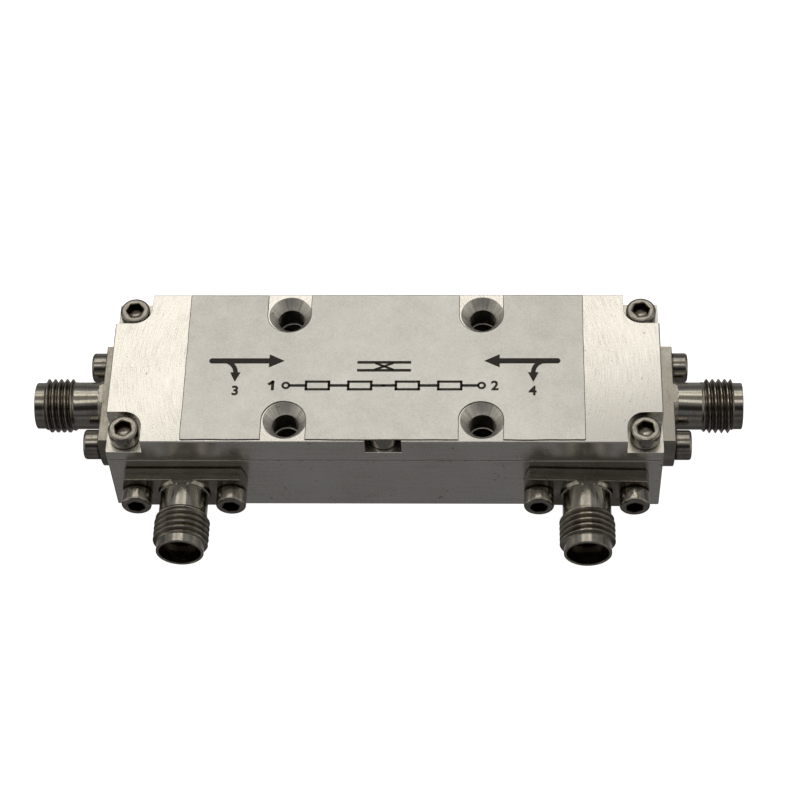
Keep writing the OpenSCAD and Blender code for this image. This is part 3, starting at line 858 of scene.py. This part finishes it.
# %% One cap screw
SCREW_POINTS = 48
SCREW_D = 2.0
SHANK_BREAK = 0.2
HEAD_D = 3.45
HEAD_H = 1.9
HEAD_ROUND = 0.34
HEX_ACROSS = 1.78
HEX_DEPTH = 1.15
HEX_LEAD = 0.05
DISH_R = 0.82
DISH_DEPTH = 0.16
SEAT_BREAK = 0.08
SEAT_SHADE_HEIGHT = 0.3
SIDE_SHADE = 0.06


def cap_screw(name, shank):
    """A screw whose head stands on the height 0, with its shank below and painted shade in its socket and on
    its seat.
    """
    n = SCREW_POINTS
    r = HEAD_D / 2
    floor_z = HEAD_H - HEX_DEPTH
    shoulder = [(p.y, p.x) for p in arc(r - HEAD_ROUND, HEAD_H - HEAD_ROUND, HEAD_ROUND, 0, 90, 5)]
    dish = [(floor_z - DISH_DEPTH * (1 - s * s), DISH_R * s) for s in (1.0, 0.8, 0.6, 0.4, 0.2)]
    lead_r = HEX_ACROSS / 2 / math.cos(math.pi / 6) + HEX_LEAD
    rings = [[Vector((0, 0, -shank))], circle(-shank, SCREW_D / 2 - SHANK_BREAK, n),
             circle(SHANK_BREAK - shank, SCREW_D / 2, n), circle(0, SCREW_D / 2, n),
             circle(0, r - SEAT_BREAK, n), circle(SEAT_BREAK, r, n), circle(SEAT_SHADE_HEIGHT, r, n),
             *(circle(z, radius, n) for z, radius in shoulder),
             circle(HEAD_H, lead_r, n), hexagon(HEAD_H - HEX_LEAD, HEX_ACROSS, n),
             hexagon(floor_z, HEX_ACROSS, n), *(circle(z, radius, n) for z, radius in dish),
             [Vector((0, 0, floor_z - DISH_DEPTH))]]
    mesh = ring_mesh(name, rings)

    # Painted shade: full at the seat as a contact shadow, dark on the socket's walls and lighter in its dish,
    # a little on the head's side.
    def shade_amount(reach, z):
        if z < SEAT_SHADE_HEIGHT / 2:
            return 1.0
        if reach < lead_r and z < HEAD_H - HEX_LEAD / 2:
            return min(1.0, (reach / DISH_R) ** 2)
        return SIDE_SHADE if reach > r - SEAT_BREAK / 2 else 0.0

    paint_shade(mesh, shade_amount)
    return mesh


print("screw head:", HEAD_D, "mm wide and", HEAD_H, "mm high")

# %% The tree that seats the screws
def group_input(tree, name, kind, value=None):
    """A named input of a Geometry Nodes tree."""
    made = tree.interface.new_socket(name, in_out="INPUT", socket_type=kind)
    if value is not None:
        made.default_value = value


def new_geometry_tree(name, first_input):
    """An empty Geometry Nodes tree with one geometry in and one out."""
    tree = bpy.data.node_groups.new(name, "GeometryNodeTree")
    group_input(tree, first_input, "NodeSocketGeometry")
    tree.interface.new_socket("Geometry", in_out="OUTPUT", socket_type="NodeSocketGeometry")
    return tree


def hand_out(tree, geometry, finish):
    """Ends a tree: instances made real, a material set, and the result handed out."""
    real = add(tree, "GeometryNodeRealizeInstances", {"Geometry": geometry}).outputs[0]
    dressed = add(tree, "GeometryNodeSetMaterial", {"Geometry": real, "Material": finish}).outputs[0]
    plug(add(tree, "NodeGroupOutput").inputs[0], dressed)


def grown(name, mesh, tree, **values):
    """The mesh that a tree makes of another one, with the tree's inputs set by their identifiers."""
    source = scratch(name, mesh)
    modifier = source.modifiers.new(tree.name, "NODES")
    modifier.node_group = tree
    for item in tree.interface.items_tree:
        if item.in_out == "INPUT" and item.name in values:
            modifier[item.identifier] = values[item.name]
    return made_mesh(source, name)


def screws_tree():
    tree = new_geometry_tree("seat_screws", "Seats")
    group_input(tree, "Screw", "NodeSocketObject")
    group_input(tree, "Finish", "NodeSocketMaterial")
    group_input(tree, "Seed", "NodeSocketInt", 4)
    inputs = add(tree, "NodeGroupInput").outputs
    shape = add(tree, "GeometryNodeObjectInfo", {"Object": inputs["Screw"]}).outputs["Geometry"]
    facing = add(tree, "GeometryNodeInputNamedAttribute", {"Name": "facing"}, data_type="FLOAT_VECTOR")
    aligned = add(tree, "FunctionNodeAlignRotationToVector", {"Vector": facing.outputs[0]}, axis="Z")
    turn = add(tree, "FunctionNodeRandomValue", {"Seed": inputs["Seed"]}, data_type="FLOAT")
    turn.inputs[3].default_value = math.pi / 3
    spin = add(tree, "FunctionNodeAxisAngleToRotation", {"Angle": turn.outputs[1]})
    turned = add(tree, "FunctionNodeRotateRotation",
                 {"Rotation": aligned.outputs[0], "Rotate By": spin.outputs[0]}, rotation_space="LOCAL")
    copies = add(tree, "GeometryNodeInstanceOnPoints",
                 {"Points": inputs["Seats"], "Instance": shape, "Rotation": turned.outputs[0]})
    hand_out(tree, copies.outputs[0], inputs["Finish"])
    return tree


SCREWS_TREE = screws_tree()
print("tree:", SCREWS_TREE.name, len(SCREWS_TREE.nodes), "nodes")

# %% Ports and screw seats
FLANGE_SCREW_L = 4.5
LID_SCREW_L = 4.0
FLANGE_T = 1.7
PORTS = ("left_end", "right_end", "left_side", "right_side")
FLANGE_PITCH = 2 * (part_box("flange_screws")[1].y / MM - HEAD_D / 2)


def port_frame(port):
    """The place of a connector: its axis is Z, from the wall outwards, and its Y points up."""
    mount = mounts[port + "_thread"]
    axis = Vector(mount["axis"])
    spot = Vector(mount["pos_m"])
    wall = min(corner.dot(axis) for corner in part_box(port + "_shell"))
    across = Vector((0, 0, 1)).cross(axis)
    turn = Matrix((across, (0, 0, 1), axis)).transposed().to_4x4()
    return Matrix.Translation(spot + axis * (wall - spot.dot(axis))) @ turn


def seated_screws(name, seats, shank, node):
    """One piece with a screw on every seat; a seat is a point in metres and the way it faces."""
    mesh = bpy.data.meshes.new(name + "_seats")
    mesh.from_pydata([spot for spot, facing in seats], [], [])
    facings = mesh.attributes.new("facing", "FLOAT_VECTOR", "POINT")
    for item, (spot, facing) in zip(facings.data, seats):
        item.vector = facing
    master = scratch(name + "_master", cap_screw(name + "_master", shank))
    made = grown(name, mesh, SCREWS_TREE, Screw=master, Finish=SCREW_STEEL)
    bpy.data.objects.remove(master)
    return finished(name, made, "stainless_steel", [SCREW_STEEL], node)


lid_low, lid_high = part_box("lid_screws")
inset = HEAD_D / 2 * MM
lid_seats = [((x, y, lid_high.z - HEAD_H * MM), (0, 0, 1))
             for x in (lid_low.x + inset, 0, lid_high.x - inset)
             for y in (lid_low.y + inset, lid_high.y - inset)]
seated_screws("lid_cap_screws", lid_seats, LID_SCREW_L, "lid_screws")
flange_seats = [(port_frame(port) @ (Vector((side * FLANGE_PITCH / 2, 0, FLANGE_T)) * MM),
                 port_frame(port).to_3x3() @ Vector((0, 0, 1)))
                for port in PORTS for side in SIDES]
seated_screws("flange_cap_screws", flange_seats, FLANGE_SCREW_L, "flange_screws")

# %% [markdown]
# ## The connectors
# Each connector is one turned piece: a flange with two flats, a low hub that the flats cut too, a plain
# barrel, a thread of 36 turns to the inch, and a short pilot around the mouth. A thread could be faked with
# rings, but a real one climbs. The blank is a stack of rings with a gap where the thread goes. A Geometry
# Nodes tree rolls a flat grid into the helix, with flanks, narrow crests and a run-out at both ends, and
# sews it into the gap. Shade is painted into the thread's grooves and the bore, a band of painted contact
# shadow runs along the wall, and some flanges are painted darker than others as shade.

# %% The blank of a connector
FLANGE_D = 14.2
FLANGE_FLAT = 5.4
FLANGE_HOLE_D = 2.4
HUB_WIDE = 0.28
HUB_NARROW = 0.15
HUB_L = 0.45
HUB_STEP = 0.06
EDGE_BREAK = 0.1
HOLD = 0.02
BARREL_L = 7.95
BARREL_D = 5.5
THREAD_L = 3.7
PILOT_D = 5.4
PILOT_L = 1.05
RIM_BREAK = 0.07
MOUTH_D = 4.7
MOUTH_DEPTH = 1.9
AIR_D = 3.5
AIR_L = 3.0
BORE_D = 4.14
BORE_SHADE = 0.62
WALL_SHADE_HEIGHT = 0.15
TIP = FLANGE_T + BARREL_L
THREAD_END = TIP - PILOT_L
THREAD_START = THREAD_END - THREAD_L


def shell_blank(name, flange_shade):
    """A connector's rings, from the bore's back around the outside to the bore again."""
    c = EDGE_BREAK
    half = FLANGE_FLAT / 2
    disc, barrel, pilot = FLANGE_D / 2, BARREL_D / 2, PILOT_D / 2
    mouth, air, bore = MOUTH_D / 2, AIR_D / 2, BORE_D / 2
    shelf = TIP - MOUTH_DEPTH
    hub, hub_end = barrel + HUB_WIDE, FLANGE_T + HUB_L
    chord = math.sqrt(hub ** 2 - half ** 2)
    column = round(math.asin(half / hub) / (2 * math.pi) * RING_POINTS)
    cone = [flatted(FLANGE_T, hub, half)]
    for s in (0.25, 0.5, 0.75, 1):
        radius = hub - (HUB_WIDE - HUB_NARROW) * s
        angles = cut_angles(math.asin(half / radius), column)
        cone.append(cut_ring(FLANGE_T + HUB_L * s, radius, half, angles))
    rounding = [(p.y, c - p.x) for p in arc(0, FLANGE_T - c, c, 0, 90, 3)]
    behind = [circle(0, bore), flatted(0, disc, half, c), flatted(c, disc, half),
              flatted(WALL_SHADE_HEIGHT, disc, half), flatted(WALL_SHADE_HEIGHT + HOLD, disc, half),
              flatted(FLANGE_T - c - HOLD, disc, half),
              *(flatted(z, disc, half, inset, chord) for z, inset in rounding),
              flatted(FLANGE_T, disc, half, c + HOLD, chord),
              *cone, cut_ring(hub_end + HUB_STEP, barrel, barrel, angles),
              cut_ring(hub_end + HUB_STEP + HOLD, barrel, barrel, angles),
              circle(THREAD_START - HOLD, barrel), circle(THREAD_START, barrel)]
    front = [circle(THREAD_END, barrel), circle(THREAD_END, pilot), circle(THREAD_END + HOLD, pilot),
             circle(TIP - RIM_BREAK - HOLD, pilot), circle(TIP - RIM_BREAK, pilot),
             circle(TIP, pilot - RIM_BREAK), circle(TIP, mouth + RIM_BREAK), circle(TIP - RIM_BREAK, mouth),
             circle(shelf, mouth), circle(shelf, air), circle(shelf - AIR_L, air),
             circle(shelf - AIR_L, bore), circle(0, bore)]
    mesh = ring_mesh(name, behind, front)

    # Painted shade: the mouth and bore are painted dark, a band along the wall is painted fully dark as
    # contact shadow, and the flange gets its own amount.
    def shade_amount(reach, z):
        if reach < mouth + HOLD and z < TIP - RIM_BREAK / 2:
            return BORE_SHADE
        if z < WALL_SHADE_HEIGHT + HOLD / 2:
            return 1.0
        return flange_shade if z < FLANGE_T + HOLD else 0.0

    paint_shade(mesh, shade_amount)
    return mesh


print("blank:", TIP, "mm long, its thread from", round(THREAD_START, 2), "to", round(THREAD_END, 2))

# %% The tree that cuts the thread
THREAD_D = 6.3
THREAD_PITCH = 25.4 / 36
THREAD_RUNIN = 0.55
THREAD_RUNOUT = 0.2
THREAD_ROWS = 16
THREAD_FLANK = (1 / 16, 7 / 16)
THREAD_SHADE = 0.6
SEAM_REACH = 0.0005 * MM


def thread_tree():
    tree = new_geometry_tree("cut_thread", "Blank")
    for name in ("Start", "Length", "Pitch", "Root Radius", "Crest Radius", "Runin", "Runout", "Phase"):
        group_input(tree, name, "NodeSocketFloat")
    group_input(tree, "Columns", "NodeSocketInt")
    group_input(tree, "Rows per Turn", "NodeSocketInt")
    group_input(tree, "Finish", "NodeSocketMaterial")
    inputs = add(tree, "NodeGroupInput").outputs
    pitches = calc("DIVIDE", inputs["Length"], inputs["Pitch"])
    turns = calc("ADD", calc("CEIL", pitches), 1.0)
    rows = calc("MULTIPLY_ADD", turns, inputs["Rows per Turn"], 1.0)
    columns = calc("ADD", inputs["Columns"], 1.0)
    grid = add(tree, "GeometryNodeMeshGrid",
               {"Size X": 1.0, "Size Y": turns, "Vertices X": columns, "Vertices Y": rows}).outputs["Mesh"]
    x, y = split(add(tree, "GeometryNodeInputPosition").outputs[0])[:2]
    around = calc("ADD", x, 0.5)
    turn = calc("MULTIPLY_ADD", turns, 0.5, y)
    climb = calc("SUBTRACT", calc("ADD", turn, around), 1.0)
    rise = calc("MULTIPLY", climb, inputs["Pitch"])
    height = calc("MAXIMUM", calc("MINIMUM", rise, inputs["Length"]), 0.0)
    wave = calc("PINGPONG", calc("ADD", turn, inputs["Phase"]), 0.5)
    flank = remap(wave, *THREAD_FLANK)
    left = calc("SUBTRACT", inputs["Length"], height)
    ends = calc("MINIMUM", calc("DIVIDE", height, inputs["Runin"]),
                calc("DIVIDE", left, inputs["Runout"]))
    fade = remap(ends, 0.0, 1.0)
    depth = calc("SUBTRACT", inputs["Crest Radius"], inputs["Root Radius"])
    lift = calc("MULTIPLY", calc("MULTIPLY", flank, fade), depth)
    # Painted shade in the grooves: the thread's roots are painted darker, fading out where the thread runs in
    # and out.
    shade_amount = calc("MULTIPLY", remap(flank, 0.5, 1.0, THREAD_SHADE, 0.0), fade)
    shaded_grid = add(tree, "GeometryNodeStoreNamedAttribute", {"Geometry": grid, "Name": "grime", "Value": shade_amount},
                data_type="FLOAT", domain="POINT").outputs[0]
    radius = calc("ADD", lift, inputs["Root Radius"])
    angle = calc("MULTIPLY", around, 2 * math.pi)
    spot = join(calc("MULTIPLY", radius, calc("COSINE", angle)),
                calc("MULTIPLY", radius, calc("SINE", angle)),
                calc("ADD", height, inputs["Start"]))
    helix = add(tree, "GeometryNodeSetPosition", {"Geometry": shaded_grid, "Position": spot}).outputs[0]
    sewn = add(tree, "GeometryNodeJoinGeometry", {"Geometry": helix})
    plug(sewn.inputs[0], inputs["Blank"])
    merged = add(tree, "GeometryNodeMergeByDistance", {"Geometry": sewn.outputs[0], "Distance": SEAM_REACH})
    hand_out(tree, merged.outputs[0], inputs["Finish"])
    return tree


THREAD_TREE = thread_tree()
print("tree:", THREAD_TREE.name, len(THREAD_TREE.nodes), "nodes")

# %% Connector shells
DRILL_OVER = 1.0
SCREW_PLAY = 0.18
RIGHT_FLANGE_TURN = math.asin(2 * SCREW_PLAY / FLANGE_PITCH)
THREAD_PHASE = {"left_end": 0.08, "right_end": 0.62, "left_side": 0.42, "right_side": 0.0}
# How much painted shade darkens each flange.
FLANGE_SHADE = {"left_end": 0.2, "right_end": 0.0, "left_side": 0.32, "right_side": 0.45}


def turned_outwards(mesh):
    """The mesh with its faces turned outwards; returns how many of its edges are open."""
    work = bmesh.new()
    work.from_mesh(mesh)
    bmesh.ops.recalc_face_normals(work, faces=work.faces)
    loose = sum(1 for edge in work.edges if not edge.is_manifold)
    work.to_mesh(mesh)
    work.free()
    return loose


def hole_cutter():
    """The two screw holes of a flange, as one cutter."""
    work = bmesh.new()
    low, high = -DRILL_OVER, FLANGE_T + DRILL_OVER
    drill = [[Vector((0, 0, low))], circle(low, FLANGE_HOLE_D / 2, SCREW_POINTS),
             circle(high, FLANGE_HOLE_D / 2, SCREW_POINTS), [Vector((0, 0, high))]]
    for side in SIDES:
        shift = Vector((side * FLANGE_PITCH / 2, 0, 0))
        skin(work, [[p + shift for p in ring] for ring in drill])
    bmesh.ops.recalc_face_normals(work, faces=work.faces)
    return scratch("hole_cutter", edited(work, "hole_cutter"))


def threaded_shell(name, steel, phase, flange_shade):
    """A connector's mesh in its own frame: blank, thread and screw holes."""
    values = {"Start": THREAD_START * MM, "Length": THREAD_L * MM, "Pitch": THREAD_PITCH * MM,
              "Root Radius": BARREL_D / 2 * MM, "Crest Radius": THREAD_D / 2 * MM,
              "Runin": THREAD_RUNIN * MM, "Runout": THREAD_RUNOUT * MM, "Phase": phase,
              "Columns": RING_POINTS, "Rows per Turn": THREAD_ROWS, "Finish": steel}
    mesh = grown(name, shell_blank(name, flange_shade), THREAD_TREE, **values)
    print(name, "open edges:", turned_outwards(mesh))
    source = scratch(name, mesh)
    cutter = hole_cutter()
    holes = source.modifiers.new("screw_holes", "BOOLEAN")
    holes.object = cutter
    holes.solver = "EXACT"
    mesh = made_mesh(source, name)
    bpy.data.objects.remove(cutter)
    return mesh


for port in PORTS:
    steel = END_STEEL if port.endswith("end") else FRONT_STEEL
    mesh = threaded_shell(port + "_connector", steel, THREAD_PHASE[port], FLANGE_SHADE[port])
    turn = RIGHT_FLANGE_TURN if port == "right_side" else 0
    mesh.transform(port_frame(port) @ Matrix.Rotation(-turn, 4, "Z"))
    finished(mesh.name, mesh, "stainless_steel", [steel], port + "_shell")

# %% [markdown]
# ## The pieces inside
# Insulators, contacts and the circuit are right as solids, and mostly hidden. They keep their shapes and only
# get their finishes: waxy white plastic, gold plate, green laminate, tinned copper, glazed chips and dark
# ferrite. Each one is a few layers of noise at the size of the real grain.

# %% Finishes of the inner pieces
def grained(name, scale, dark, light, rough, depth, **constants):
    """A finish with one fine grain in its colour, gloss and relief."""
    material, tree = new_finish(name, **constants)
    fine = grain(place(tree), scale, detail=3)
    patch = grain(place(tree), scale / 8, detail=2)
    tone = mixed([(fine, 0.6), (patch, 0.4)])
    colour = tint(tone, (0.32, dark), (0.68, light))
    return coated(material, colour, remap(tone, 0.32, 0.68, *rough), fine, depth * MM)


INNER = {
    "insulator": grained("waxy_fluoropolymer", 2500, (0.8, 0.79, 0.76), (0.88, 0.875, 0.85),
                         (0.5, 0.38), 0.004),
    "contact": grained("gold_plate", 4000, (0.72, 0.5, 0.2), (0.86, 0.66, 0.32), (0.3, 0.2), 0.002,
                       Metallic=1.0),
    "board": grained("green_solder_mask", 3000, (0.01, 0.07, 0.03), (0.02, 0.12, 0.055), (0.45, 0.3),
                     0.004),
    "tracks": grained("tinned_copper", 3500, (0.55, 0.5, 0.45), (0.75, 0.71, 0.66), (0.42, 0.28), 0.003,
                      Metallic=1.0),
    "chip": grained("chip_glaze", 5000, (0.012, 0.012, 0.014), (0.035, 0.035, 0.04), (0.4, 0.25), 0.003),
    "ferrite": grained("sintered_ferrite", 2600, (0.02, 0.02, 0.022), (0.07, 0.07, 0.075), (0.75, 0.55),
                       0.008),
    "coax": grained("copper_jacket", 3500, (0.5, 0.27, 0.16), (0.7, 0.42, 0.27), (0.4, 0.26), 0.003,
                    Metallic=1.0),
}
FINISH_OF = {"circuit_board": "board", "board_tracks": "tracks", "bridge_resistors": "chip"}
for side in ("left", "right"):
    FINISH_OF[side + "_balun_cores"] = "ferrite"
    FINISH_OF[side + "_balun_coax"] = "coax"
for port in PORTS:
    FINISH_OF[port + "_insulator"] = "insulator"
    FINISH_OF[port + "_contact"] = "contact"


def dress(node, material):
    """Gives a solid a finish, and leaves its shape alone."""
    for slot in frame["nodes"][node].material_slots:
        slot.material = material


for node, finish in FINISH_OF.items():
    dress(node, INNER[finish])
dress("board_screws", SCREW_STEEL)
dress("flow_arrows", INK)
print("dressed:", len(FINISH_OF) + 2, "solids")
